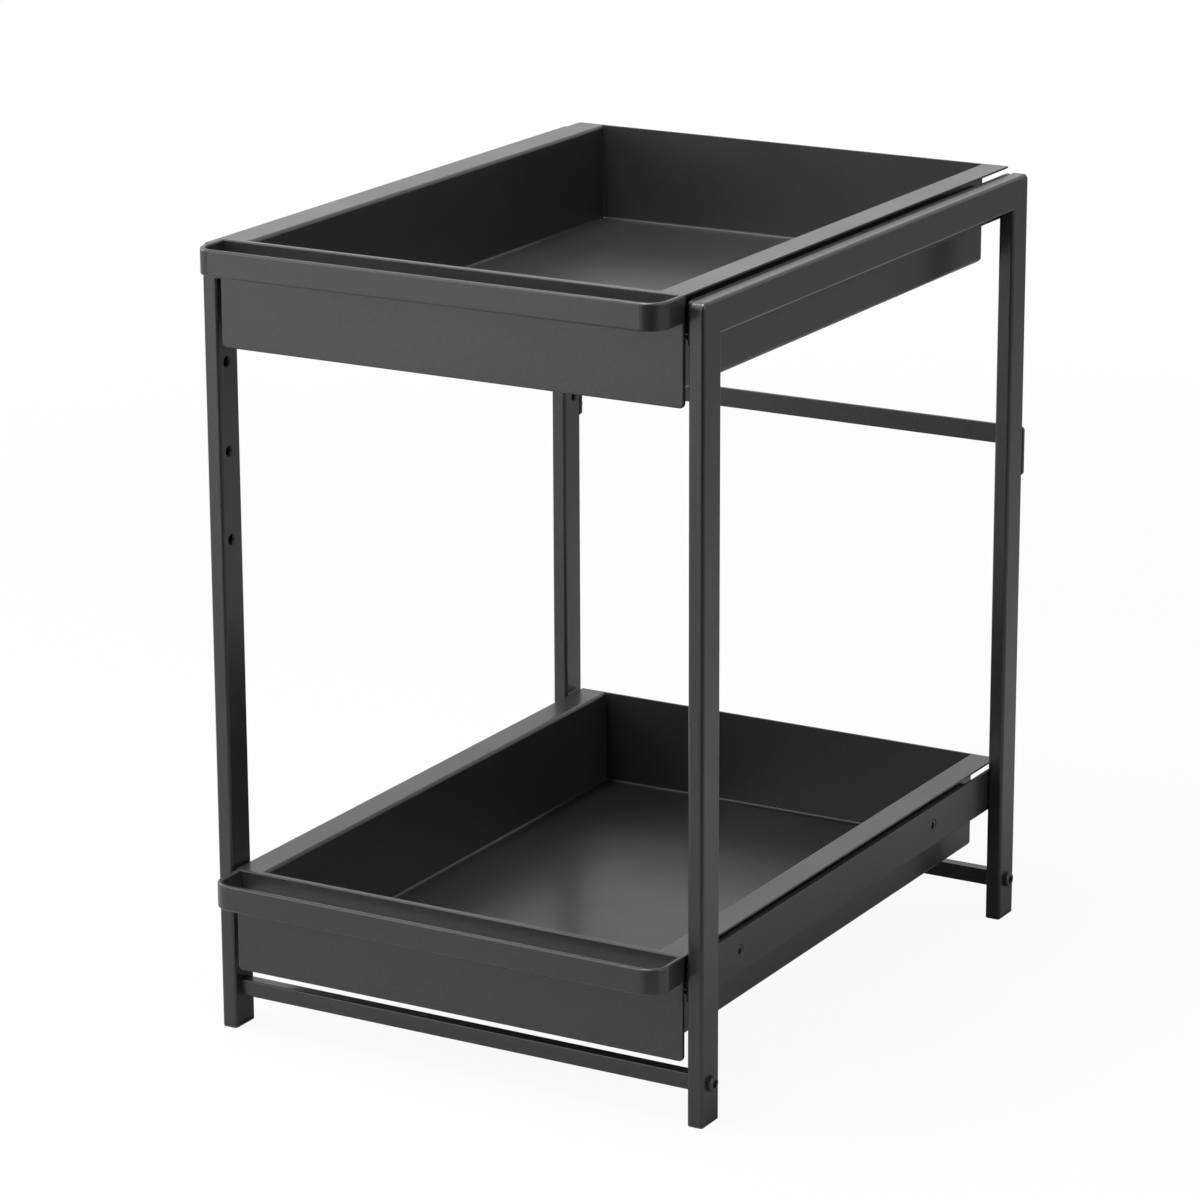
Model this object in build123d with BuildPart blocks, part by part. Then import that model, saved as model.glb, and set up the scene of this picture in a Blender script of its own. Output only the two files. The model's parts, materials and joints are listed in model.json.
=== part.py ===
from build123d import *
import os
from math import asin, degrees

# Two-tier pull-out organizer for the space under a sink. Two side frames of flat tube carry
# two sheet steel drawers on ball-bearing slides. Millimetres, X to the right, -Y to the front
# where the drawers come out, +Z up. The origin is on the floor under the middle of the object.

# Side frames
frame_width = 325
frame_depth = 410
frame_height = 475
tube_width = 20
tube_thickness = 10
tube_wall = 1.2
tube_edge_radius = 2
frame_corner_radius = 4

# Foot caps
foot_lip = 2.5
foot_plug_height = 10
foot_edge_radius = 0.4

# Cross bars between the side frames, near the floor
crossbar_height = 10
crossbar_depth = 8
crossbar_edge_radius = 0.8
crossbar_centre_z = 24.5

# Brace across the backs of the rear posts
brace_thickness = 3
brace_bar_height = 12
brace_tab_height = 31
brace_top_z = 316
brace_corner_radius = 2.5
brace_edge_bevel = 0.6
brace_screw_inset = 7

# Drawers
drawer_rise = 3.5
lower_tray_floor_z = 39.8
drawer_side_gap = 2.5
drawer_rear_gap = 3
tray_height = 61.2
tray_sheet = 1.2
tray_corner_radius = 3
tray_bend_radius = 2.4
flange_width = 17
panel_overhang = 1.7
panel_thickness = 2
panel_corner_radius = 3
panel_edge_radius = 0.8

# Handle loops
handle_reach = 27.6
handle_height = 15.7
handle_thickness = 3
handle_corner_radius = 12
handle_edge_radius = 1.3

# Ball-bearing slides, all four alike
slide_rear_inset = 47
slide_wall = 1.2
slide_depth = 10
slide_top_gap = 3.1
ball_radius = 2
ball_block_share = 0.86
ball_facet_share = 0.29
ball_row_offset = 8.9
ball_count = 4
ball_gap = 0.1
cage_length = 100
cage_sheet = 0.5
cage_float = 0.5
cage_rim = 1
cage_pocket_gap = 0.08
slide_lip_gap = 1.2
slide_bend_radius = 1.5
slide_trough_turn = 43

# Plates that carry the slides, and channels that hang the trays on them
plate_thickness = 2
plate_margin = 0.5
plate_corner_radius = 3
plate_end_setback = 3.5
carrier_sheet = 1.5
carrier_front_inset = 20
carrier_rear_inset = 60

# Screws
frame_screw_radius = 2.4
frame_screw_head_radius = 4.75
frame_screw_head_height = 2.7
crossbar_thread_depth = 12
small_screw_head_radius = 4
small_screw_head_height = 2.2
small_screw_length = 6
small_screw_head_gap = 1
slide_screw_radius = 2.4
slide_screw_head_radius = 4
slide_screw_sink = 0.4
slide_screw_inset = 50
carrier_screw_radius = 2
carrier_screw_inset = 35
crown_share = 0.3
socket_share = 0.55
socket_depth_share = 0.6
hole_gap = 0.1

# Threaded holes on the inside of the posts, pressed into a collar behind the tube's wall. The spare
# ones lie between the two drawers, so that the lower drawer can be hung higher
post_hole_inset = 8
post_hole_mouth_bevel = 0.9
post_collar_wall = 1.2
post_collar_reach = 2.5
spare_hole_shares = (0.85, 0.71, 0.57)

cut_overrun = 1

os.makedirs("parts", exist_ok=True)

# Derived places
frame_centre_y = (handle_reach - brace_thickness - small_screw_head_height) / 2
front_y = frame_centre_y - frame_depth / 2
rear_y = frame_centre_y + frame_depth / 2
post_outer_x = frame_width / 2
post_inner_x = post_outer_x - tube_thickness
post_hole_radius = frame_screw_radius + hole_gap
tiers = (("upper", frame_height + drawer_rise), ("lower", lower_tray_floor_z + tray_height))
sides = (("left", -1), ("right", 1))
ends = (("front", front_y, 1), ("rear", rear_y, -1))

drawer_half_width = post_inner_x - drawer_side_gap
tray_half_width = drawer_half_width - flange_width
tray_front_y = front_y + panel_thickness
tray_rear_y = rear_y - drawer_rear_gap
tray_length = tray_rear_y - tray_front_y
tray_centre_y = (tray_front_y + tray_rear_y) / 2
panel_height = tray_height + panel_overhang

groove_radius = ball_radius + ball_gap + slide_wall / 2
ball_row_depth = slide_wall / 2 + groove_radius
slide_half_height = ball_row_offset + groove_radius + slide_wall / 2
slide_drop = tray_sheet + slide_top_gap + slide_half_height
slide_front_inset = post_hole_inset + small_screw_head_radius + small_screw_head_gap
slide_length = frame_depth - slide_front_inset - slide_rear_inset
slide_front_y = front_y + slide_front_inset
slide_centre_y = slide_front_y + slide_length / 2
slide_mount_x = post_inner_x - plate_thickness
cage_depth = slide_wall + cage_float
ball_pitch = cage_length / ball_count
ball_block = 2 * ball_radius * ball_block_share

plate_length = frame_depth - 2 * plate_end_setback
plate_height = 2 * (slide_half_height + plate_margin)
carrier_web_x = slide_mount_x - slide_depth
carrier_height = 2 * (ball_row_offset - slide_lip_gap)
carrier_length = frame_depth - carrier_front_inset - carrier_rear_inset
carrier_front_y = front_y + carrier_front_inset
slide_heights = [flange_top - slide_drop for _, flange_top in tiers]


def save(piece, label):
    piece.part.label = label
    export_step(piece.part, f"parts/{label}.step")


def side_plane(x):
    return Plane.YZ.offset(x)


def slide_plane(side, y, z):
    """Section plane of a slide: local X runs inwards from the mounting face, local Y is up."""
    return Plane(origin=(side * slide_mount_x, y, z), x_dir=(-side, 0, 0), z_dir=(0, side, 0))


# Side frame tubes, mitred where post and rail meet
def frame_tube(side, corners, long_axis, inner_holes=(), through_holes=(), back_holes=()):
    low_x = min(side * post_inner_x, side * post_outer_x)
    tube_bottom = foot_lip
    tube_span = frame_height - tube_bottom
    middle = (frame_centre_y, tube_bottom + tube_span / 2)
    with BuildPart() as tube:
        with BuildSketch(side_plane(low_x)) as skin:
            with Locations(middle):
                Rectangle(frame_depth, tube_span)
            fillet(skin.vertices().group_by(Axis.Y)[-1], frame_corner_radius)
            with Locations((frame_centre_y, tube_bottom)):
                Rectangle(frame_depth - 2 * tube_width, 2 * (tube_span - tube_width), mode=Mode.SUBTRACT)
            Polygon(*corners, align=None, mode=Mode.INTERSECT)
        extrude(amount=tube_thickness)
        long_edges = tube.edges().filter_by(long_axis)
        fillet(long_edges + tube.edges().filter_by(GeomType.CIRCLE), tube_edge_radius)
        with BuildSketch(side_plane(low_x + tube_wall)):
            with Locations((frame_centre_y, tube_bottom)):
                Rectangle(frame_depth - 2 * tube_wall, 2 * (tube_span - tube_wall))
                Rectangle(
                    frame_depth - 2 * (tube_width - tube_wall),
                    2 * (tube_span - tube_width + tube_wall),
                    mode=Mode.SUBTRACT,
                )
            Polygon(*corners, align=None, mode=Mode.INTERSECT)
        extrude(amount=tube_thickness - 2 * tube_wall, mode=Mode.SUBTRACT)
        if inner_holes:
            with BuildSketch(side_plane(side * (post_inner_x + tube_wall))):
                with Locations(*inner_holes):
                    Circle(post_hole_radius + post_collar_wall)
            extrude(amount=side * post_collar_reach)
            with BuildSketch(side_plane(side * post_inner_x)):
                with Locations(*inner_holes):
                    Circle(post_hole_radius)
            extrude(amount=side * (tube_wall + post_collar_reach), mode=Mode.SUBTRACT)
            with BuildSketch(side_plane(side * post_inner_x)):
                with Locations(*inner_holes):
                    Circle(post_hole_radius + post_hole_mouth_bevel)
            extrude(amount=side * post_hole_mouth_bevel, taper=45, mode=Mode.SUBTRACT)
        if through_holes:
            with BuildSketch(side_plane(low_x)):
                with Locations(*through_holes):
                    Circle(frame_screw_radius + hole_gap)
            extrude(amount=tube_thickness, mode=Mode.SUBTRACT)
        if back_holes:
            with BuildSketch(Plane.XZ.offset(-rear_y)):
                with Locations(*back_holes):
                    Circle(frame_screw_radius + hole_gap)
            extrude(amount=tube_wall, mode=Mode.SUBTRACT)
    return tube


def spare_hole_heights():
    top, bottom = slide_heights
    return [bottom + share * (top - bottom) for share in spare_hole_shares]


def brace_screw_heights():
    return (brace_top_z - brace_screw_inset, brace_top_z - brace_tab_height + brace_screw_inset)


for side_name, side in sides:
    post_centre_x = side * (post_outer_x - tube_thickness / 2)
    for end_name, end_y, inward in ends:
        inner_y = end_y + inward * tube_width
        hole_y = end_y + inward * post_hole_inset
        corners = (
            (end_y, foot_lip),
            (end_y, frame_height),
            (inner_y, frame_height - tube_width),
            (inner_y, foot_lip),
        )
        heights = slide_heights + spare_hole_heights()
        back_holes = [(post_centre_x, z) for z in brace_screw_heights()] if end_name == "rear" else ()
        post = frame_tube(
            side,
            corners,
            Axis.Z,
            inner_holes=[(hole_y, z) for z in heights],
            through_holes=[(end_y + inward * tube_width / 2, crossbar_centre_z)],
            back_holes=back_holes,
        )
        save(post, f"{side_name}_{end_name}_post")
    rail = frame_tube(
        side,
        (
            (front_y, frame_height),
            (rear_y, frame_height),
            (rear_y - tube_width, frame_height - tube_width),
            (front_y + tube_width, frame_height - tube_width),
        ),
        Axis.Y,
    )
    save(rail, f"{side_name}_top_rail")


# Plastic caps that close the open lower ends of the posts
for side_name, side in sides:
    for end_name, end_y, inward in ends:
        place = (side * (post_outer_x - tube_thickness / 2), end_y + inward * tube_width / 2)
        plug_x = tube_thickness - 2 * tube_wall - 2 * hole_gap
        plug_y = tube_width - 2 * tube_wall - 2 * hole_gap
        with BuildPart() as foot:
            with BuildSketch(Plane.XY):
                with Locations(place):
                    RectangleRounded(tube_thickness, tube_width, tube_edge_radius)
            extrude(amount=foot_lip)
            chamfer(foot.edges().group_by(Axis.Z)[0] + foot.edges().group_by(Axis.Z)[-1], foot_edge_radius)
            with BuildSketch(Plane.XY.offset(foot_lip)):
                with Locations(place):
                    Rectangle(plug_x, plug_y)
            extrude(amount=foot_plug_height)
            chamfer(foot.edges().group_by(Axis.Z)[-1], foot_edge_radius)
        save(foot, f"{side_name}_{end_name}_foot_cap")


# Cross bars, tapped at both ends
for end_name, end_y, inward in ends:
    bar_centre = (end_y + inward * tube_width / 2, crossbar_centre_z)
    with BuildPart() as crossbar:
        with BuildSketch(side_plane(-post_inner_x)):
            with Locations(bar_centre):
                Rectangle(crossbar_depth, crossbar_height)
        extrude(amount=2 * post_inner_x)
        fillet(crossbar.edges().filter_by(Axis.X), crossbar_edge_radius)
        for _, side in sides:
            with BuildSketch(side_plane(side * post_inner_x)):
                with Locations(bar_centre):
                    Circle(frame_screw_radius + hole_gap)
            extrude(amount=-side * (crossbar_thread_depth + cut_overrun), mode=Mode.SUBTRACT)
    save(crossbar, f"{end_name}_crossbar")


# Brace with end tabs that lie on the backs of the rear posts
with BuildPart() as back_brace:
    with BuildSketch(Plane.XZ.offset(-rear_y)) as brace_outline:
        with Locations((0, brace_top_z)):
            Rectangle(frame_width, brace_bar_height, align=(Align.CENTER, Align.MAX))
        for _, side in sides:
            with Locations((side * (post_outer_x - tube_thickness / 2), brace_top_z)):
                Rectangle(tube_thickness, brace_tab_height, align=(Align.CENTER, Align.MAX))
        fillet(brace_outline.vertices(), brace_corner_radius)
    extrude(amount=-brace_thickness)
    chamfer(back_brace.edges().group_by(Axis.Y)[-1], brace_edge_bevel)
    with BuildSketch(Plane.XZ.offset(-rear_y)):
        for _, side in sides:
            with Locations(*[(side * (post_outer_x - tube_thickness / 2), z) for z in brace_screw_heights()]):
                Circle(frame_screw_radius + hole_gap)
    extrude(amount=-brace_thickness, mode=Mode.SUBTRACT)
save(back_brace, "back_brace")


# Plates on the inside of the posts, each with two countersunk holes for its slide
def slide_screw_places():
    return [slide_front_y + slide_screw_inset, slide_front_y + slide_length - slide_screw_inset]


for tier_name, flange_top in tiers:
    slide_z = flange_top - slide_drop
    for side_name, side in sides:
        with BuildPart() as plate:
            with BuildSketch(side_plane(side * post_inner_x)) as plate_outline:
                with Locations((frame_centre_y, slide_z)):
                    RectangleRounded(plate_length, plate_height, plate_corner_radius)
                with Locations(*[(end_y + inward * post_hole_inset, slide_z) for _, end_y, inward in ends]):
                    Circle(frame_screw_radius + hole_gap, mode=Mode.SUBTRACT)
            extrude(amount=-side * plate_thickness)
            for y in slide_screw_places():
                with Locations(Plane(origin=(side * post_inner_x, y, slide_z), z_dir=(side, 0, 0))):
                    CounterSinkHole(
                        slide_screw_radius + hole_gap,
                        slide_screw_head_radius + slide_screw_sink + hole_gap,
                        counter_sink_angle=90,
                    )
        save(plate, f"{tier_name}_{side_name}_runner_plate")


# Outer members: rolled channels whose edges curl round the ball rows
def outer_member(side, z):
    with BuildPart() as member:
        with BuildSketch(slide_plane(side, slide_front_y, z)):
            with BuildLine():
                Line((slide_wall / 2, -ball_row_offset), (slide_wall / 2, ball_row_offset))
                CenterArc((ball_row_depth, ball_row_offset), groove_radius, 180, -180)
                CenterArc((ball_row_depth, -ball_row_offset), groove_radius, 180, 180)
            trace(line_width=slide_wall)
        extrude(amount=side * slide_length)
        for y in slide_screw_places():
            with BuildSketch(Plane(origin=(side * slide_mount_x, y, z), z_dir=(-side, 0, 0))):
                Circle(slide_screw_radius + hole_gap)
            extrude(amount=slide_wall, mode=Mode.SUBTRACT)
    return member


# Inner members: channels that open outwards, with a trough along each edge for the balls
def inner_member(side, z):
    web_depth = slide_depth - slide_wall / 2
    leg_offset = ball_row_offset - slide_wall / 2 - slide_lip_gap
    trough_start = -degrees(asin((ball_row_offset - leg_offset) / groove_radius))
    with BuildPart() as member:
        with BuildSketch(slide_plane(side, slide_front_y, z)):
            for up in (1, -1):
                with BuildLine():
                    trough = CenterArc(
                        (ball_row_depth, up * ball_row_offset),
                        groove_radius,
                        up * trough_start,
                        -up * slide_trough_turn,
                    )
                    FilletPolyline(
                        (web_depth, 0),
                        (web_depth, up * leg_offset),
                        trough @ 0,
                        radius=slide_bend_radius,
                    )
                trace(line_width=slide_wall)
        extrude(amount=side * slide_length)
        for y in carrier_screw_places():
            with BuildSketch(Plane(origin=(side * carrier_web_x, y, z), z_dir=(side, 0, 0))):
                Circle(carrier_screw_radius + hole_gap)
            extrude(amount=slide_wall, mode=Mode.SUBTRACT)
    return member


def carrier_screw_places():
    return [carrier_front_y + carrier_screw_inset, carrier_front_y + carrier_length - carrier_screw_inset]


def ball_places(side, z):
    x = side * (slide_mount_x - ball_row_depth)
    first_y = slide_centre_y - (ball_count - 1) * ball_pitch / 2
    return [
        (x, first_y + n * ball_pitch, z + row * ball_row_offset)
        for n in range(ball_count)
        for row in (-1, 1)
    ]


# Retainer strips with open pockets that keep the balls apart. The balls are rounded off by flats,
# because they never show
def ball_cage(side, z):
    strip_x = side * (slide_mount_x - cage_depth)
    ball_skin = ball_row_depth - cage_depth - cage_sheet
    pocket_radius = (ball_radius**2 - ball_skin**2) ** 0.5 + cage_pocket_gap
    with BuildPart() as cage:
        with BuildSketch(side_plane(strip_x)):
            with Locations((slide_centre_y, z)):
                Rectangle(cage_length, 2 * (ball_row_offset + cage_rim))
            with Locations(*[(y, ball_z) for _, y, ball_z in ball_places(side, z)]):
                Circle(pocket_radius, mode=Mode.SUBTRACT)
        extrude(amount=-side * cage_sheet)
    return cage


# Channels welded to the tray sides, which the inner members are screwed to
def tray_carrier(side, z):
    depth = carrier_web_x - tray_half_width
    with BuildPart() as carrier:
        with BuildSketch(Plane.XZ.offset(-carrier_front_y)):
            with Locations((side * (tray_half_width + depth / 2), z)):
                Rectangle(depth, carrier_height)
            with Locations((side * (tray_half_width + (depth - carrier_sheet) / 2), z)):
                Rectangle(depth - carrier_sheet, carrier_height - 2 * carrier_sheet, mode=Mode.SUBTRACT)
        extrude(amount=-carrier_length)
        for y in carrier_screw_places():
            with BuildSketch(Plane(origin=(side * carrier_web_x, y, z), z_dir=(-side, 0, 0))):
                Circle(carrier_screw_radius + hole_gap)
            extrude(amount=carrier_sheet, mode=Mode.SUBTRACT)
    return carrier


for tier_name, flange_top in tiers:
    slide_z = flange_top - slide_drop
    for side_name, side in sides:
        save(outer_member(side, slide_z), f"{tier_name}_{side_name}_outer_slide")
        save(inner_member(side, slide_z), f"{tier_name}_{side_name}_inner_slide")
        save(ball_cage(side, slide_z), f"{tier_name}_{side_name}_ball_cage")
        save(tray_carrier(side, slide_z), f"{tier_name}_{side_name}_tray_carrier")
    with BuildPart() as balls:
        for _, side in sides:
            with Locations(*ball_places(side, slide_z)):
                Box(ball_block, ball_block, ball_block)
        chamfer(balls.edges(), ball_block * ball_facet_share)
    save(balls, f"{tier_name}_slide_balls")


# Trays: pans bent from one sheet, with a flange along each side
def pan_solid(half_width, bottom_z, shelf_half, shelf_bottom, shelf_top, front, length, corner, bend):
    height = shelf_bottom - bottom_z
    with BuildPart() as solid:
        with BuildSketch(Plane.XZ.offset(-front)) as section:
            with Locations((0, bottom_z)):
                Rectangle(2 * half_width, height, align=(Align.CENTER, Align.MIN))
            with Locations((0, shelf_bottom)):
                Rectangle(2 * shelf_half, shelf_top - shelf_bottom, align=(Align.CENTER, Align.MIN))
            fillet(section.vertices().group_by(Axis.Y)[0], corner)
            bends = section.vertices().filter_by_position(Axis.X, -half_width, half_width)
            fillet(bends.group_by(Axis.Y)[-1], bend)
        extrude(amount=-length)
        with BuildSketch(side_plane(-shelf_half)) as outline:
            with Locations((front + length / 2, bottom_z)):
                Rectangle(length, shelf_top - bottom_z, align=(Align.CENTER, Align.MIN))
            fillet(outline.vertices().group_by(Axis.Y)[0], corner)
        extrude(amount=2 * shelf_half, mode=Mode.INTERSECT)
    return solid


def tray(flange_top):
    floor_z = flange_top - tray_height
    body = pan_solid(
        tray_half_width,
        floor_z,
        drawer_half_width,
        flange_top - tray_sheet,
        flange_top,
        tray_front_y,
        tray_length,
        tray_corner_radius,
        tray_bend_radius - tray_sheet,
    )
    hollow = pan_solid(
        tray_half_width - tray_sheet,
        floor_z + tray_sheet,
        tray_half_width + tray_bend_radius,
        flange_top,
        flange_top + cut_overrun,
        tray_front_y + tray_sheet,
        tray_length - 2 * tray_sheet,
        tray_corner_radius - tray_sheet,
        tray_bend_radius,
    )
    with BuildPart() as pan:
        add(body.part)
        add(hollow.part, mode=Mode.SUBTRACT)
    return pan


def front_panel(flange_top):
    with BuildPart() as panel:
        with BuildSketch(Plane.XZ.offset(-front_y)) as panel_outline:
            with Locations((0, flange_top)):
                Rectangle(2 * drawer_half_width, panel_height, align=(Align.CENTER, Align.MAX))
            fillet(panel_outline.vertices().group_by(Axis.Y)[0], panel_corner_radius)
        extrude(amount=-panel_thickness)
        fillet(panel.edges().group_by(Axis.Y)[0], panel_edge_radius)
    return panel


def handle_loop(flange_top):
    with BuildPart() as loop:
        with BuildSketch(Plane.XY.offset(flange_top - handle_height)) as plan:
            with Locations((0, front_y)):
                Rectangle(2 * drawer_half_width, handle_reach, align=(Align.CENTER, Align.MAX))
            fillet(plan.vertices().group_by(Axis.Y)[0], handle_corner_radius)
        extrude(amount=handle_height)
        with BuildSketch(Plane.XY.offset(flange_top - handle_height)) as inside:
            with Locations((0, front_y)):
                Rectangle(
                    2 * (drawer_half_width - handle_thickness),
                    handle_reach - handle_thickness,
                    align=(Align.CENTER, Align.MAX),
                )
            fillet(inside.vertices().group_by(Axis.Y)[0], handle_corner_radius - handle_thickness)
        extrude(amount=handle_height, mode=Mode.SUBTRACT)
        rims = loop.edges().group_by(Axis.Z)[-1] + loop.edges().group_by(Axis.Z)[0]
        rims = rims.filter_by(lambda edge: edge.center().Y < front_y - handle_edge_radius / 2)
        fillet(rims, handle_edge_radius)
    return loop


for tier_name, flange_top in tiers:
    save(tray(flange_top), f"{tier_name}_tray")
    save(front_panel(flange_top), f"{tier_name}_front_panel")
    save(handle_loop(flange_top), f"{tier_name}_handle")


# Screws. Each seat is a plane on the face under the head, with its normal pointing out of it
def socket_screws(seats, radius, length, head_radius, head_height):
    with BuildPart() as screws:
        for seat in seats:
            with BuildSketch(seat):
                Circle(head_radius)
            extrude(amount=head_height)
            with BuildSketch(seat):
                Circle(radius)
            extrude(amount=-length)
        crowns = screws.edges().filter_by(GeomType.CIRCLE)
        crowns = crowns.filter_by(lambda edge: is_crown(edge, seats, head_radius, head_height))
        chamfer(crowns, head_height * crown_share)
        for seat in seats:
            with BuildSketch(seat.offset(head_height)):
                RegularPolygon(head_radius * socket_share, side_count=6)
            extrude(amount=-head_height * socket_depth_share, mode=Mode.SUBTRACT)
    return screws


def is_crown(edge, seats, head_radius, head_height):
    if abs(edge.radius - head_radius) > hole_gap:
        return False
    return any((edge.arc_center - seat.offset(head_height).origin).length < hole_gap for seat in seats)


def countersunk_screws(seats, radius, length, head_radius):
    with BuildPart() as screws:
        for seat in seats:
            with BuildSketch(seat):
                Circle(head_radius)
            with BuildSketch(seat.offset(radius - head_radius)):
                Circle(radius)
            loft()
            with BuildSketch(seat.offset(radius - head_radius)):
                Circle(radius)
            extrude(amount=-(length - head_radius + radius))
            with BuildSketch(seat):
                RegularPolygon(head_radius * socket_share, side_count=6)
            extrude(amount=-(head_radius - radius) * socket_depth_share, mode=Mode.SUBTRACT)
    return screws


crossbar_seats = [
    Plane(
        origin=(side * post_outer_x, end_y + inward * tube_width / 2, crossbar_centre_z),
        z_dir=(side, 0, 0),
    )
    for _, side in sides
    for _, end_y, inward in ends
]
crossbar_screws = socket_screws(
    crossbar_seats,
    frame_screw_radius,
    tube_thickness + crossbar_thread_depth,
    frame_screw_head_radius,
    frame_screw_head_height,
)
save(crossbar_screws, "crossbar_screws")

brace_seats = [
    Plane(
        origin=(side * (post_outer_x - tube_thickness / 2), rear_y + brace_thickness, z),
        z_dir=(0, 1, 0),
    )
    for _, side in sides
    for z in brace_screw_heights()
]
brace_screws = socket_screws(
    brace_seats,
    frame_screw_radius,
    brace_thickness + small_screw_length,
    small_screw_head_radius,
    small_screw_head_height,
)
save(brace_screws, "brace_screws")

for tier_name, flange_top in tiers:
    slide_z = flange_top - slide_drop
    plate_seats = [
        Plane(
            origin=(side * slide_mount_x, end_y + inward * post_hole_inset, slide_z),
            z_dir=(-side, 0, 0),
        )
        for _, side in sides
        for _, end_y, inward in ends
    ]
    plate_screws = socket_screws(
        plate_seats,
        frame_screw_radius,
        plate_thickness + small_screw_length,
        small_screw_head_radius,
        small_screw_head_height,
    )
    save(plate_screws, f"{tier_name}_plate_screws")

    slide_seats = [
        Plane(origin=(side * (post_inner_x - slide_screw_sink), y, slide_z), z_dir=(side, 0, 0))
        for _, side in sides
        for y in slide_screw_places()
    ]
    slide_screws = countersunk_screws(
        slide_seats,
        slide_screw_radius,
        plate_thickness + slide_wall - slide_screw_sink,
        slide_screw_head_radius,
    )
    save(slide_screws, f"{tier_name}_slide_screws")

    carrier_seats = [
        Plane(origin=(side * (carrier_web_x + slide_wall), y, slide_z), z_dir=(side, 0, 0))
        for _, side in sides
        for y in carrier_screw_places()
    ]
    carrier_screws = socket_screws(
        carrier_seats,
        carrier_screw_radius,
        slide_wall + carrier_sheet + cut_overrun,
        small_screw_head_radius,
        small_screw_head_height,
    )
    save(carrier_screws, f"{tier_name}_carrier_screws")
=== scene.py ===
import json
import math

import bpy
from mathutils import Matrix, Vector


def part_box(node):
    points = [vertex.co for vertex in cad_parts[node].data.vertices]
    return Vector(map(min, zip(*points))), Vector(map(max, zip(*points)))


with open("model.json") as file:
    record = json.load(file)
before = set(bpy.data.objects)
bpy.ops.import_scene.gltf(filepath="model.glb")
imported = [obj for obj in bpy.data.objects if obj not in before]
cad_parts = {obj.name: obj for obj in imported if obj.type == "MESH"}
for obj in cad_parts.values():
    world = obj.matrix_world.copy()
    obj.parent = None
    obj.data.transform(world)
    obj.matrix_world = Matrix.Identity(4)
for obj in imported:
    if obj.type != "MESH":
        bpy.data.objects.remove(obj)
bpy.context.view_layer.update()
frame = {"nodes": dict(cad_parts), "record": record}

# Blender works in metres
MM = 0.001


# Camera: a long lens, a little above the trays and to the right of the front, with angles in degrees
VIEW_AZIMUTH = 29.92
VIEW_ELEVATION = 16.35
VIEW_ROLL = -0.217
VIEW_DISTANCE = 2848.9 * MM
VIEW_OFFSET_RIGHT = -17.7 * MM
VIEW_OFFSET_UP = -2.1 * MM
SENSOR_WIDTH_MM = 36
FRAME_PIXELS = 1200
FOCAL_PIXELS = 4744.4
NEAREST_SEEN = VIEW_DISTANCE / 100
FARTHEST_SEEN = VIEW_DISTANCE * 20


def middle_of_frame():
    """Centre of the four posts, which the softboxes face and the camera nearly faces."""
    front_low, front_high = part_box("left_front_post")
    _, rear_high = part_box("right_rear_post")
    return Vector((0, (front_low.y + rear_high.y) / 2, front_high.z / 2))


def make_camera():
    """Stands back from the middle of the frame by the distance, and aside by the two offsets."""
    azimuth = math.radians(VIEW_AZIMUTH)
    elevation = math.radians(VIEW_ELEVATION)
    roll = math.radians(VIEW_ROLL)
    back = Vector((
        math.sin(azimuth) * math.cos(elevation),
        -math.cos(azimuth) * math.cos(elevation),
        math.sin(elevation),
    ))
    level_right = Vector((math.cos(azimuth), math.sin(azimuth), 0))
    level_up = back.cross(level_right)
    right = math.cos(roll) * level_right + math.sin(roll) * level_up
    up = back.cross(right)
    data = bpy.data.cameras.new("camera")
    data.sensor_width = SENSOR_WIDTH_MM
    data.lens = FOCAL_PIXELS / FRAME_PIXELS * SENSOR_WIDTH_MM
    data.clip_start = NEAREST_SEEN
    data.clip_end = FARTHEST_SEEN
    camera = bpy.data.objects.new("camera", data)
    bpy.context.scene.collection.objects.link(camera)
    place = middle_of_frame() + back * VIEW_DISTANCE
    place += level_right * VIEW_OFFSET_RIGHT + level_up * VIEW_OFFSET_UP
    turn = Matrix((right, up, back)).transposed().to_4x4()
    camera.matrix_world = Matrix.Translation(place) @ turn
    bpy.context.scene.camera = camera


# Materials: _MM stands for millimetres, and _SMOOTH and _ROUGH are the ends of a roughness range
WHITE = (1, 1, 1, 1)

# Most values of a noise lie between these two
NOISE_LOW = 0.3
NOISE_HIGH = 0.7

# A Mix node has sockets of the same name for each kind of data, and these are the ones for colours
MIX_SHARE = 0
MIX_FIRST = 6
MIX_SECOND = 7
MIX_RESULT = 2


def linear(hex_colour):
    """Turns an sRGB hex colour into the linear RGBA that a shader takes."""
    levels = [int(hex_colour[i:i + 2], 16) / 255 for i in (1, 3, 5)]
    return [c / 12.92 if c <= 0.04045 else ((c + 0.055) / 1.055) ** 2.4 for c in levels] + [1]


def new_material(name):
    """Makes a material that is still empty, apart from the node that tells places on the piece."""
    material = bpy.data.materials.new(name)
    material.use_nodes = True
    tree = material.node_tree
    tree.nodes.clear()
    where = add_node(tree, "ShaderNodeTexCoord", {}, {}).outputs["Object"]
    return material, tree, where


def add_node(tree, kind, settings, links):
    """Adds a node, sets its properties and sockets, and joins its inputs to the given outputs."""
    node = tree.nodes.new(kind)
    for name, value in settings.items():
        if isinstance(name, int) or name in node.inputs:
            node.inputs[name].default_value = value
        else:
            setattr(node, name, value)
    for name, source in links.items():
        tree.links.new(source, node.inputs[name])
    return node


# Black polyester powder coat, sprayed as dry powder on steel and melted in an oven. The melt draws
# round the edges and levels into a soft orange peel, and some resin rises to a thin clear skin.
# Edges catch a thin line of light, large faces show a blurred reflection with a sharper one over
# it, and the gloss drifts a little from place to place.
COAT_COLOUR = "#232324"
# Painted highlight: edges are drawn in this lighter grey, which the grain's faint specks also take
COAT_HIGHLIGHT_AND_SPECKLE_COLOUR = "#4e4e4f"
COAT_IOR = 1.45
COAT_GLOSS_SWING = 0.05
COAT_PEEL_MM = 2.4
COAT_PEEL_DEPTH_MM = 0.06
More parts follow.
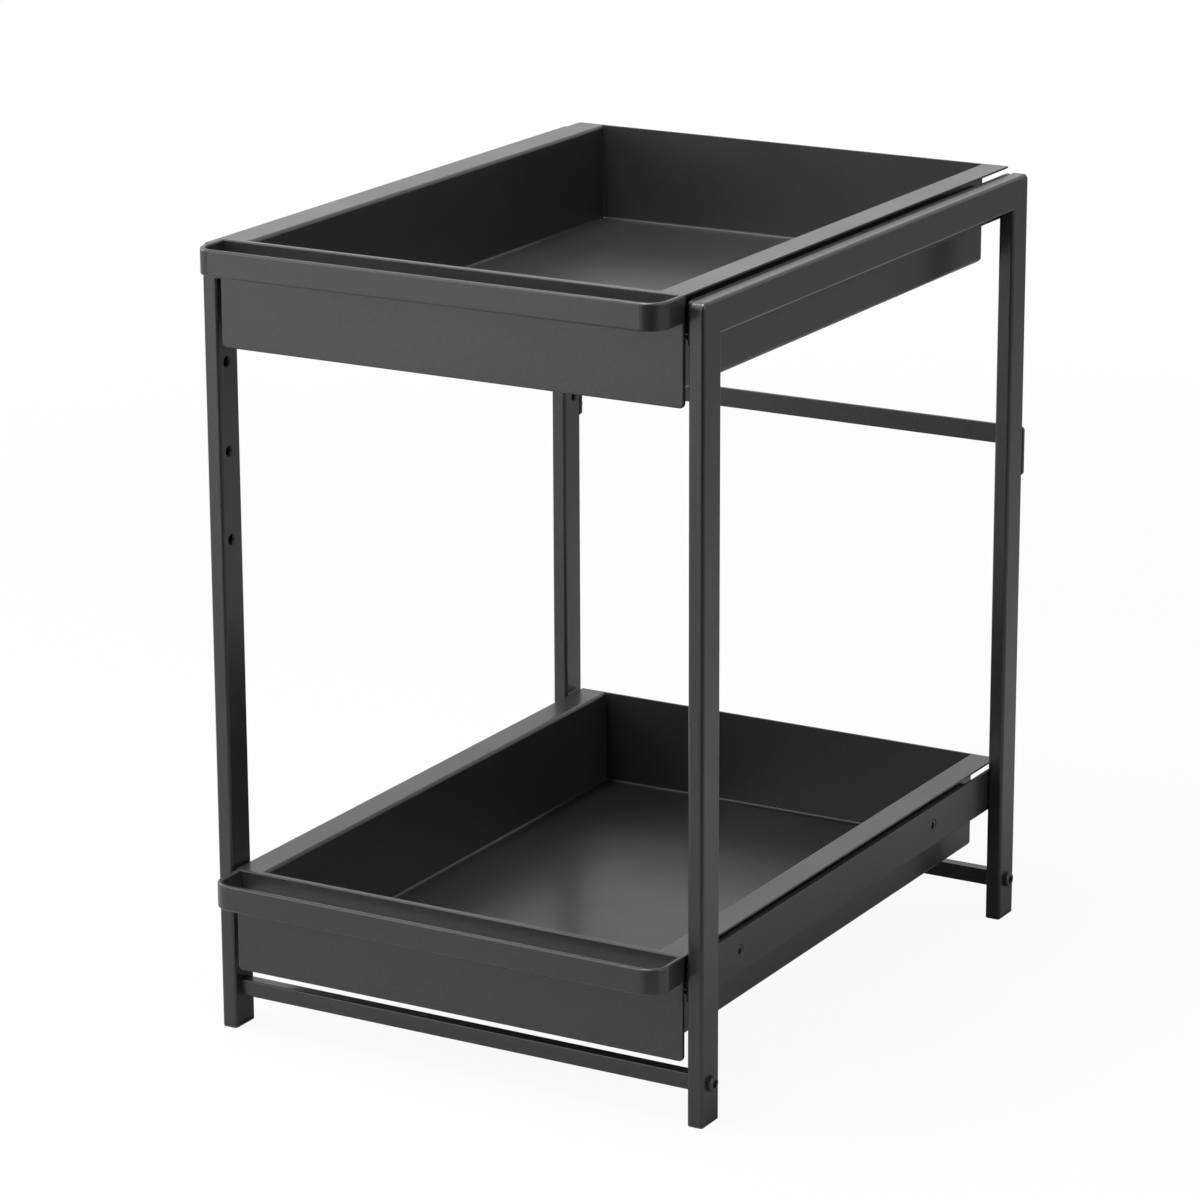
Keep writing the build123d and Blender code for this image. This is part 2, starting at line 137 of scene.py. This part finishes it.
# The powder's own grain of about 0.1 mm is too fine to show, so it is drawn eight times as coarse
COAT_GRAIN_MM = 0.8
COAT_GRAIN_DEPTH_MM = 0.022
COAT_SPECKLE_SHARE = 0.16
COAT_SPECKLE_LOW = 0.35
COAT_SPECKLE_HIGH = 0.65
COAT_DRIFT_MM = 70
COAT_DRIFT_LOW = 0.1
COAT_DRIFT_HIGH = 0.9
COAT_EDGE_HIGHLIGHT_COSINE = 0.9
CLEAR_SKIN_IOR = 1.5
CLEAR_SKIN_ROUGHNESS = 0.16

# What the steel under the coat changes: its mean roughness, its share of clear skin, and how far
# its edges are rounded, in millimetres
TUBE_COAT = (0.34, 0.22, 0.1)
SHEET_COAT = (0.36, 0.25, 0.4)
FLAT_BAR_COAT = (0.38, 0.06, 0.3)


def powder_coat(name, roughness, skin_share, edge_mm):
    material, tree, where = new_material(name)
    soft_edge = add_node(tree, "ShaderNodeBevel", {"samples": 6, "Radius": edge_mm * MM}, {})
    peel = add_node(
        tree, "ShaderNodeTexNoise",
        {"Scale": 1 / (COAT_PEEL_MM * MM), "Detail": 1, "Roughness": 0.4}, {"Vector": where},
    )
    grain = add_node(
        tree, "ShaderNodeTexNoise",
        {"Scale": 1 / (COAT_GRAIN_MM * MM), "Detail": 1, "Roughness": 0.5}, {"Vector": where},
    )
    drift = add_node(
        tree, "ShaderNodeTexNoise",
        {"Scale": 1 / (COAT_DRIFT_MM * MM), "Detail": 1, "Roughness": 0.4}, {"Vector": where},
    )
    gloss = add_node(
        tree, "ShaderNodeMapRange",
        {
            "interpolation_type": "SMOOTHSTEP",
            "From Min": COAT_DRIFT_LOW, "From Max": COAT_DRIFT_HIGH,
            "To Min": roughness - COAT_GLOSS_SWING, "To Max": roughness + COAT_GLOSS_SWING,
        },
        {"Value": drift.outputs["Fac"]},
    )
    peel_bump = add_node(
        tree, "ShaderNodeBump", {"Strength": 0.7, "Distance": COAT_PEEL_DEPTH_MM * MM},
        {"Height": peel.outputs["Fac"], "Normal": soft_edge.outputs["Normal"]},
    )
    grain_bump = add_node(
        tree, "ShaderNodeBump", {"Strength": 0.5, "Distance": COAT_GRAIN_DEPTH_MM * MM},
        {"Height": grain.outputs["Fac"], "Normal": peel_bump.outputs["Normal"]},
    )
    # The edges are painted lighter, a painted highlight along every edge, on top of the real thinner
    # coat that powder leaves there as it pulls back in the melt; the grain also leaves faint light
    # specks elsewhere. An edge is where the rounded normal turns away from the face's own
    surface = add_node(tree, "ShaderNodeNewGeometry", {}, {})
    turned = add_node(
        tree, "ShaderNodeVectorMath", {"operation": "DOT_PRODUCT"},
        {0: surface.outputs["Normal"], 1: soft_edge.outputs["Normal"]},
    )
    painted_edge_highlight = add_node(
        tree, "ShaderNodeMapRange", {"From Min": 1.0, "From Max": COAT_EDGE_HIGHLIGHT_COSINE},
        {"Value": turned.outputs["Value"]},
    )
    speckle = add_node(
        tree, "ShaderNodeMapRange",
        {
            "From Min": COAT_SPECKLE_LOW, "From Max": COAT_SPECKLE_HIGH,
            "To Max": COAT_SPECKLE_SHARE,
        },
        {"Value": grain.outputs["Fac"]},
    )
    highlight_and_speckle_share = add_node(
        tree, "ShaderNodeMath", {"operation": "MAXIMUM"},
        {0: painted_edge_highlight.outputs["Result"], 1: speckle.outputs["Result"]},
    )
    colour = add_node(
        tree, "ShaderNodeMix",
        {
            "data_type": "RGBA",
            MIX_FIRST: linear(COAT_COLOUR), MIX_SECOND: linear(COAT_HIGHLIGHT_AND_SPECKLE_COLOUR),
        },
        {MIX_SHARE: highlight_and_speckle_share.outputs[0]},
    )
    paint = add_node(
        tree, "ShaderNodeBsdfPrincipled",
        {
            "IOR": COAT_IOR, "Coat Weight": skin_share,
            "Coat Roughness": CLEAR_SKIN_ROUGHNESS, "Coat IOR": CLEAR_SKIN_IOR,
        },
        {
            "Base Color": colour.outputs[MIX_RESULT],
            "Roughness": gloss.outputs["Result"],
            "Normal": grain_bump.outputs["Normal"],
            "Coat Normal": peel_bump.outputs["Normal"],
        },
    )
    add_node(tree, "ShaderNodeOutputMaterial", {}, {"Surface": paint.outputs["BSDF"]})
    return material


# Cold-rolled steel strip under black electro-coat. The rolls leave fine lines along the slide, which
# break the light into faint streaks. Lines of about 0.1 mm are too fine to show, so they are drawn
# four times as coarse.
STRIP_COLOUR = "#1c1c1d"
STRIP_LINE_COLOUR = "#2a2b2d"
STRIP_IOR = 1.52
STRIP_SMOOTH = 0.3
STRIP_ROUGH = 0.46
STRIP_EDGE_MM = 0.2
STRIP_LINE_WIDTH_MM = 0.4
STRIP_LINE_LENGTH_MM = 60
STRIP_LINE_DEPTH_MM = 0.01


def electro_coated_strip():
    material, tree, where = new_material("electro_coated_slide_steel")
    soft_edge = add_node(tree, "ShaderNodeBevel", {"samples": 6, "Radius": STRIP_EDGE_MM * MM}, {})
    across = 1 / (STRIP_LINE_WIDTH_MM * MM)
    along = 1 / (STRIP_LINE_LENGTH_MM * MM)
    stretched = add_node(
        tree, "ShaderNodeMapping", {"Scale": (across, along, across)}, {"Vector": where}
    )
    lines = add_node(
        tree, "ShaderNodeTexNoise", {"Scale": 1, "Detail": 2, "Roughness": 0.5},
        {"Vector": stretched.outputs["Vector"]},
    )
    gloss = add_node(
        tree, "ShaderNodeMapRange",
        {
            "From Min": NOISE_LOW, "From Max": NOISE_HIGH,
            "To Min": STRIP_SMOOTH, "To Max": STRIP_ROUGH,
        },
        {"Value": lines.outputs["Fac"]},
    )
    bump = add_node(
        tree, "ShaderNodeBump", {"Strength": 0.1, "Distance": STRIP_LINE_DEPTH_MM * MM},
        {"Height": lines.outputs["Fac"], "Normal": soft_edge.outputs["Normal"]},
    )
    tone = add_node(
        tree, "ShaderNodeMix",
        {
            "data_type": "RGBA",
            MIX_FIRST: linear(STRIP_COLOUR), MIX_SECOND: linear(STRIP_LINE_COLOUR),
        },
        {MIX_SHARE: lines.outputs["Fac"]},
    )
    steel = add_node(
        tree, "ShaderNodeBsdfPrincipled", {"IOR": STRIP_IOR},
        {
            "Base Color": tone.outputs[MIX_RESULT],
            "Roughness": gloss.outputs["Result"],
            "Normal": bump.outputs["Normal"],
        },
    )
    add_node(tree, "ShaderNodeOutputMaterial", {}, {"Surface": steel.outputs["BSDF"]})
    return material


# Zinc-plated strip for the ball cages. Plating crystals give a cloudy, slightly blue-grey bloom.
ZINC_COLOUR = "#8f9296"
ZINC_BLOOM_COLOUR = "#b9bcc0"
ZINC_SMOOTH = 0.28
ZINC_ROUGH = 0.45
ZINC_EDGE_MM = 0.1
ZINC_BLOOM_MM = 4


def zinc_plated_strip():
    material, tree, where = new_material("zinc_plated_cage_strip")
    soft_edge = add_node(tree, "ShaderNodeBevel", {"samples": 6, "Radius": ZINC_EDGE_MM * MM}, {})
    bloom = add_node(
        tree, "ShaderNodeTexNoise",
        {"Scale": 1 / (ZINC_BLOOM_MM * MM), "Detail": 4, "Roughness": 0.65}, {"Vector": where},
    )
    gloss = add_node(
        tree, "ShaderNodeMapRange",
        {
            "From Min": NOISE_LOW, "From Max": NOISE_HIGH,
            "To Min": ZINC_SMOOTH, "To Max": ZINC_ROUGH,
        },
        {"Value": bloom.outputs["Fac"]},
    )
    tone = add_node(
        tree, "ShaderNodeMix",
        {
            "data_type": "RGBA",
            MIX_FIRST: linear(ZINC_COLOUR), MIX_SECOND: linear(ZINC_BLOOM_COLOUR),
        },
        {MIX_SHARE: bloom.outputs["Fac"]},
    )
    zinc = add_node(
        tree, "ShaderNodeBsdfPrincipled", {"Metallic": 1.0},
        {
            "Base Color": tone.outputs[MIX_RESULT],
            "Roughness": gloss.outputs["Result"],
            "Normal": soft_edge.outputs["Normal"],
        },
    )
    add_node(tree, "ShaderNodeOutputMaterial", {}, {"Surface": zinc.outputs["BSDF"]})
    return material


# Bearing steel balls, lapped to a mirror and lightly greased. The grease film leaves faint patches
# that are a little duller and warmer than the bare steel.
BALL_COLOUR = "#c9cbcd"
BALL_GREASE_COLOUR = "#b9b5ab"
BALL_SMOOTH = 0.08
BALL_ROUGH = 0.22
BALL_FILM_MM = 1.5
BALL_FILM_LOW = 0.4
BALL_FILM_HIGH = 0.6


def greased_bearing_steel():
    material, tree, where = new_material("lapped_bearing_steel")
    film = add_node(
        tree, "ShaderNodeTexNoise",
        {"Scale": 1 / (BALL_FILM_MM * MM), "Detail": 2, "Roughness": 0.5}, {"Vector": where},
    )
    gloss = add_node(
        tree, "ShaderNodeMapRange",
        {
            "From Min": BALL_FILM_LOW, "From Max": BALL_FILM_HIGH,
            "To Min": BALL_SMOOTH, "To Max": BALL_ROUGH,
        },
        {"Value": film.outputs["Fac"]},
    )
    tone = add_node(
        tree, "ShaderNodeMix",
        {
            "data_type": "RGBA",
            MIX_FIRST: linear(BALL_COLOUR), MIX_SECOND: linear(BALL_GREASE_COLOUR),
        },
        {MIX_SHARE: film.outputs["Fac"]},
    )
    ball = add_node(
        tree, "ShaderNodeBsdfPrincipled", {"Metallic": 1.0},
        {"Base Color": tone.outputs[MIX_RESULT], "Roughness": gloss.outputs["Result"]},
    )
    add_node(tree, "ShaderNodeOutputMaterial", {}, {"Surface": ball.outputs["BSDF"]})
    return material


# Screws in black oxide: steel blackened in a hot salt bath and oiled. The film is thin, so the metal
# shines through as a dark grey with a soft, uneven sheen. Painted shade darkens a line round the
# rim of the head and the corners of the socket.
OXIDE_COLOUR = "#3a3a3c"
OXIDE_EDGE_SHADE_COLOUR = "#080808"
OXIDE_METAL_SHARE = 0.35
OXIDE_IOR = 1.5
OXIDE_SMOOTH = 0.3
OXIDE_ROUGH = 0.46
OXIDE_EDGE_MM = 0.25
OXIDE_OIL_MM = 1.2
OXIDE_OIL_DEPTH_MM = 0.01
OXIDE_SHADE_MM = 0.6
OXIDE_UNSHADED_COSINE = 0.99
OXIDE_SHADED_COSINE = 0.9


def black_oxide_steel():
    material, tree, where = new_material("black_oxide_screw_steel")
    soft_edge = add_node(tree, "ShaderNodeBevel", {"samples": 6, "Radius": OXIDE_EDGE_MM * MM}, {})
    oil = add_node(
        tree, "ShaderNodeTexNoise",
        {"Scale": 1 / (OXIDE_OIL_MM * MM), "Detail": 3, "Roughness": 0.6}, {"Vector": where},
    )
    gloss = add_node(
        tree, "ShaderNodeMapRange",
        {
            "From Min": NOISE_LOW, "From Max": NOISE_HIGH,
            "To Min": OXIDE_SMOOTH, "To Max": OXIDE_ROUGH,
        },
        {"Value": oil.outputs["Fac"]},
    )
    # Painted shade: near the head's rim and the socket's corners the colour turns near-black
    surface = add_node(tree, "ShaderNodeNewGeometry", {}, {})
    shade_edge = add_node(tree, "ShaderNodeBevel", {"samples": 8, "Radius": OXIDE_SHADE_MM * MM}, {})
    turned = add_node(
        tree, "ShaderNodeVectorMath", {"operation": "DOT_PRODUCT"},
        {0: surface.outputs["Normal"], 1: shade_edge.outputs["Normal"]},
    )
    painted_edge_shade = add_node(
        tree, "ShaderNodeMapRange",
        {"From Min": OXIDE_UNSHADED_COSINE, "From Max": OXIDE_SHADED_COSINE},
        {"Value": turned.outputs["Value"]},
    )
    tone = add_node(
        tree, "ShaderNodeMix",
        {
            "data_type": "RGBA",
            MIX_FIRST: linear(OXIDE_COLOUR), MIX_SECOND: linear(OXIDE_EDGE_SHADE_COLOUR),
        },
        {MIX_SHARE: painted_edge_shade.outputs["Result"]},
    )
    bump = add_node(
        tree, "ShaderNodeBump", {"Strength": 0.1, "Distance": OXIDE_OIL_DEPTH_MM * MM},
        {"Height": oil.outputs["Fac"], "Normal": soft_edge.outputs["Normal"]},
    )
    oxide = add_node(
        tree, "ShaderNodeBsdfPrincipled", {"Metallic": OXIDE_METAL_SHARE, "IOR": OXIDE_IOR},
        {
            "Base Color": tone.outputs[MIX_RESULT],
            "Roughness": gloss.outputs["Result"],
            "Normal": bump.outputs["Normal"],
        },
    )
    add_node(tree, "ShaderNodeOutputMaterial", {}, {"Surface": oxide.outputs["BSDF"]})
    return material


# Foot caps moulded in black polyethylene. The mould's spark-eroded walls leave a fine matt grain,
# and standing on a floor rubs the lower lip grey. A grain of about 0.1 mm is too fine to show, so
# it is drawn five times as coarse.
CAP_COLOUR = "#1c1c1d"
CAP_RUBBED_COLOUR = "#505050"
CAP_IOR = 1.51
CAP_SMOOTH = 0.42
CAP_ROUGH = 0.55
CAP_EDGE_MM = 0.3
CAP_GRAIN_MM = 0.5
CAP_GRAIN_DEPTH_MM = 0.02
CAP_RUBBED_ABOVE_FLOOR_MM = 0.4
CAP_CLEAN_ABOVE_FLOOR_MM = 1.6


def moulded_polyethylene():
    material, tree, where = new_material("moulded_polyethylene")
    soft_edge = add_node(tree, "ShaderNodeBevel", {"samples": 6, "Radius": CAP_EDGE_MM * MM}, {})
    grain = add_node(
        tree, "ShaderNodeTexNoise",
        {"Scale": 1 / (CAP_GRAIN_MM * MM), "Detail": 2, "Roughness": 0.6}, {"Vector": where},
    )
    gloss = add_node(
        tree, "ShaderNodeMapRange",
        {
            "From Min": NOISE_LOW, "From Max": NOISE_HIGH,
            "To Min": CAP_SMOOTH, "To Max": CAP_ROUGH,
        },
        {"Value": grain.outputs["Fac"]},
    )
    place = add_node(tree, "ShaderNodeSeparateXYZ", {}, {"Vector": where})
    rubbed = add_node(
        tree, "ShaderNodeMapRange",
        {"From Min": CAP_CLEAN_ABOVE_FLOOR_MM * MM, "From Max": CAP_RUBBED_ABOVE_FLOOR_MM * MM},
        {"Value": place.outputs["Z"]},
    )
    tone = add_node(
        tree, "ShaderNodeMix",
        {
            "data_type": "RGBA",
            MIX_FIRST: linear(CAP_COLOUR), MIX_SECOND: linear(CAP_RUBBED_COLOUR),
        },
        {MIX_SHARE: rubbed.outputs["Result"]},
    )
    bump = add_node(
        tree, "ShaderNodeBump", {"Strength": 0.3, "Distance": CAP_GRAIN_DEPTH_MM * MM},
        {"Height": grain.outputs["Fac"], "Normal": soft_edge.outputs["Normal"]},
    )
    plastic = add_node(
        tree, "ShaderNodeBsdfPrincipled", {"IOR": CAP_IOR},
        {
            "Base Color": tone.outputs[MIX_RESULT],
            "Roughness": gloss.outputs["Result"],
            "Normal": bump.outputs["Normal"],
        },
    )
    add_node(tree, "ShaderNodeOutputMaterial", {}, {"Surface": plastic.outputs["BSDF"]})
    return material


def dress_cad_nodes():
    """Gives each piece the finish of its slot in the record, or flat bar to plates and the brace."""
    finishes = {
        "frame_coat": powder_coat("powder_coated_tube", *TUBE_COAT),
        "drawer_coat": powder_coat("powder_coated_sheet", *SHEET_COAT),
        "slide_steel": electro_coated_strip(),
        "cage_steel": zinc_plated_strip(),
        "ball_steel": greased_bearing_steel(),
        "screw_steel": black_oxide_steel(),
        "foot_plastic": moulded_polyethylene(),
    }
    flat_bar = powder_coat("powder_coated_flat_bar", *FLAT_BAR_COAT)
    slots = {s["node"]: s["material_slot"] for s in frame["record"]["subparts"]}
    for name, node in frame["nodes"].items():
        finish = flat_bar if name.endswith(("plate", "brace")) else finishes[slots[name]]
        node.data.materials.clear()
        node.data.materials.append(finish)


# Studio: white paper under the object, white all round, and a dark room to the right of the front,
# which the rounded edges that face that way reflect. Seen from the object, the room is darkest
# where the cosine of the angle from its middle is above ROOM_CORE_COSINE, and it ends at
# ROOM_EDGE_COSINE. A level of 1 is white, the azimuth is in degrees, and lengths are in metres.
ROOM_AZIMUTH = 25
ROOM_CORE_COSINE = 0.93
ROOM_EDGE_COSINE = 0.62
ROOM_LEVEL = 0.12
SURROUNDINGS_LEVEL = 0.8
FILL_SHARE = 0.4
FLOOR_HALF_WIDTH = 6
PAPER_COLOUR = "#c2c2c2"
# Painted shade: the paper's colour on the room's side, seen by everything but the camera
PAPER_ROOM_SHADE_COLOUR = "#1a1a1a"
PAPER_ROOM_START = 0.05
PAPER_ROOM_FULL = 0.5
PAPER_GLOW_MIRRORED_SHARE = 0.1
PAPER_WHITE_SEEN_SHARE = 0.94
PAPER_SHADOW_REACH = 0.6
PAPER_WHITE_REACH = 2.4

# Softboxes, all turned to the middle of the frame: place, width, height, and power in watts
SOFTBOXES = {
    "overhead_softbox": ((-0.2, -0.4, 1.9), 0.7, 0.9, 40),
    "rear_softbox": ((-0.8, 1.6, 1.3), 1.4, 0.7, 2),
    "front_softbox": ((-1.0, -1.9, 1.1), 1.7, 1.5, 15),
    "right_softbox": ((1.9, -0.3, 1.0), 1.1, 1.1, 8),
    "front_left_softbox": ((-0.8, -1.35, 0.4), 1.0, 0.8, 3.2),
    "left_softbox": ((-1.8, -0.2, 0.9), 1.2, 1.2, 14),
}


def room_share(tree, direction):
    """Rises from 0 all round to 1 on the side of the dark room."""
    azimuth = math.radians(ROOM_AZIMUTH)
    flat = add_node(
        tree, "ShaderNodeVectorMath", {"operation": "MULTIPLY", 1: (1, 1, 0)}, {0: direction}
    )
    unit = add_node(
        tree, "ShaderNodeVectorMath", {"operation": "NORMALIZE"}, {0: flat.outputs["Vector"]}
    )
    facing = add_node(
        tree, "ShaderNodeVectorMath",
        {"operation": "DOT_PRODUCT", 1: (math.sin(azimuth), -math.cos(azimuth), 0)},
        {0: unit.outputs["Vector"]},
    )
    return add_node(
        tree, "ShaderNodeMapRange",
        {
            "interpolation_type": "SMOOTHSTEP",
            "From Min": ROOM_EDGE_COSINE, "From Max": ROOM_CORE_COSINE,
        },
        {"Value": facing.outputs["Value"]},
    )


def make_floor():
    """Lays white paper that keeps the object's shadow."""
    material, tree, where = new_material("white_studio_paper")
    path = add_node(tree, "ShaderNodeLightPath", {}, {})
    # Painted shade: from the right front post on, the paper on the room's side is dark except to the
    # camera
    post_low, post_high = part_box("right_front_post")
    from_post = add_node(
        tree, "ShaderNodeVectorMath", {"operation": "SUBTRACT", 1: (post_high.x, post_low.y, 0)},
        {0: where},
    )
    share = room_share(tree, from_post.outputs["Vector"])
    reach = add_node(
        tree, "ShaderNodeVectorMath", {"operation": "LENGTH"}, {0: from_post.outputs["Vector"]}
    )
    far = add_node(
        tree, "ShaderNodeMapRange",
        {
            "interpolation_type": "SMOOTHSTEP",
            "From Min": PAPER_ROOM_START, "From Max": PAPER_ROOM_FULL,
        },
        {"Value": reach.outputs["Value"]},
    )
    hidden = add_node(
        tree, "ShaderNodeMath", {"operation": "SUBTRACT", 0: 1.0}, {1: path.outputs["Is Camera Ray"]}
    )
    far_share = add_node(
        tree, "ShaderNodeMath", {"operation": "MULTIPLY"},
        {0: share.outputs["Result"], 1: far.outputs["Result"]},
    )
    dark = add_node(
        tree, "ShaderNodeMath", {"operation": "MULTIPLY"},
        {0: far_share.outputs[0], 1: hidden.outputs[0]},
    )
    colour = add_node(
        tree, "ShaderNodeMix",
        {
            "data_type": "RGBA",
            MIX_FIRST: linear(PAPER_COLOUR), MIX_SECOND: linear(PAPER_ROOM_SHADE_COLOUR),
        },
        {MIX_SHARE: dark.outputs[0]},
    )
    # Mirrored in the object, the paper glows a little in its own colour
    paper = add_node(tree, "ShaderNodeBsdfDiffuse", {}, {"Color": colour.outputs[MIX_RESULT]})
    glow = add_node(
        tree, "ShaderNodeEmission", {"Strength": 1.0}, {"Color": colour.outputs[MIX_RESULT]}
    )
    white = add_node(tree, "ShaderNodeEmission", {"Color": WHITE, "Strength": 1.0}, {})
    mirrored = add_node(
        tree, "ShaderNodeMath", {"operation": "MULTIPLY", 1: PAPER_GLOW_MIRRORED_SHARE},
        {0: path.outputs["Is Glossy Ray"]},
    )
    lit = add_node(
        tree, "ShaderNodeMixShader", {},
        {0: mirrored.outputs[0], 1: paper.outputs[0], 2: glow.outputs[0]},
    )
    # The paper keeps the object's shadow near it, and runs out to pure white before its far edge
    distance = add_node(tree, "ShaderNodeVectorMath", {"operation": "LENGTH"}, {0: where})
    whiteness = add_node(
        tree, "ShaderNodeMapRange",
        {
            "interpolation_type": "SMOOTHSTEP",
            "From Min": PAPER_SHADOW_REACH, "From Max": PAPER_WHITE_REACH,
            "To Min": PAPER_WHITE_SEEN_SHARE, "To Max": 1.0,
        },
        {"Value": distance.outputs["Value"]},
    )
    seen = add_node(
        tree, "ShaderNodeMath", {"operation": "MULTIPLY"},
        {0: path.outputs["Is Camera Ray"], 1: whiteness.outputs["Result"]},
    )
    mix = add_node(
        tree, "ShaderNodeMixShader", {},
        {0: seen.outputs[0], 1: lit.outputs[0], 2: white.outputs[0]},
    )
    add_node(tree, "ShaderNodeOutputMaterial", {}, {"Surface": mix.outputs[0]})
    half = FLOOR_HALF_WIDTH
    mesh = bpy.data.meshes.new("floor")
    corners = [(-half, -half, 0), (half, -half, 0), (half, half, 0), (-half, half, 0)]
    mesh.from_pydata(corners, [], [(0, 1, 2, 3)])
    mesh.materials.append(material)
    floor = bpy.data.objects.new("floor", mesh)
    bpy.context.scene.collection.objects.link(floor)


def make_world():
    """The camera sees white, mirrors see the surroundings and the room, and matt faces less of them."""
    world = bpy.data.worlds.new("studio")
    world.use_nodes = True
    tree = world.node_tree
    tree.nodes.clear()
    path = add_node(tree, "ShaderNodeLightPath", {}, {})
    direction = add_node(tree, "ShaderNodeTexCoord", {}, {}).outputs["Generated"]
    share = room_share(tree, direction)
    level = add_node(
        tree, "ShaderNodeMapRange", {"To Min": SURROUNDINGS_LEVEL, "To Max": ROOM_LEVEL},
        {"Value": share.outputs["Result"]},
    )
    fill_level = add_node(
        tree, "ShaderNodeMath", {"operation": "MULTIPLY", 1: FILL_SHARE},
        {0: level.outputs["Result"]},
    )
    fill = add_node(
        tree, "ShaderNodeBackground", {"Color": WHITE}, {"Strength": fill_level.outputs[0]}
    )
    mirrored = add_node(
        tree, "ShaderNodeBackground", {"Color": WHITE}, {"Strength": level.outputs["Result"]}
    )
    white = add_node(tree, "ShaderNodeBackground", {"Color": WHITE, "Strength": 1.0}, {})
    bright = add_node(
        tree, "ShaderNodeMath", {"operation": "MAXIMUM"},
        {0: path.outputs["Is Glossy Ray"], 1: path.outputs["Is Transmission Ray"]},
    )
    unseen = add_node(
        tree, "ShaderNodeMixShader", {},
        {0: bright.outputs[0], 1: fill.outputs[0], 2: mirrored.outputs[0]},
    )
    mix = add_node(
        tree, "ShaderNodeMixShader", {},
        {0: path.outputs["Is Camera Ray"], 1: unseen.outputs[0], 2: white.outputs[0]},
    )
    add_node(tree, "ShaderNodeOutputWorld", {}, {"Surface": mix.outputs[0]})
    bpy.context.scene.world = world


def add_softbox(name, place, width, height, power):
    """Lights the object and mirrors in it, while the camera doesn't see the softbox itself."""
    light = bpy.data.lights.new(name, "AREA")
    light.shape = "RECTANGLE"
    light.size = width
    light.size_y = height
    light.energy = power
    lamp = bpy.data.objects.new(name, light)
    lamp.location = place
    lamp.visible_camera = False
    lamp.rotation_mode = "QUATERNION"
    lamp.rotation_quaternion = (Vector(place) - middle_of_frame()).to_track_quat("Z", "Y")
    bpy.context.scene.collection.objects.link(lamp)


make_camera()
dress_cad_nodes()
make_floor()
make_world()
for name, (place, width, height, power) in SOFTBOXES.items():
    add_softbox(name, place, width, height, power)
bpy.context.scene.view_settings.view_transform = "Standard"
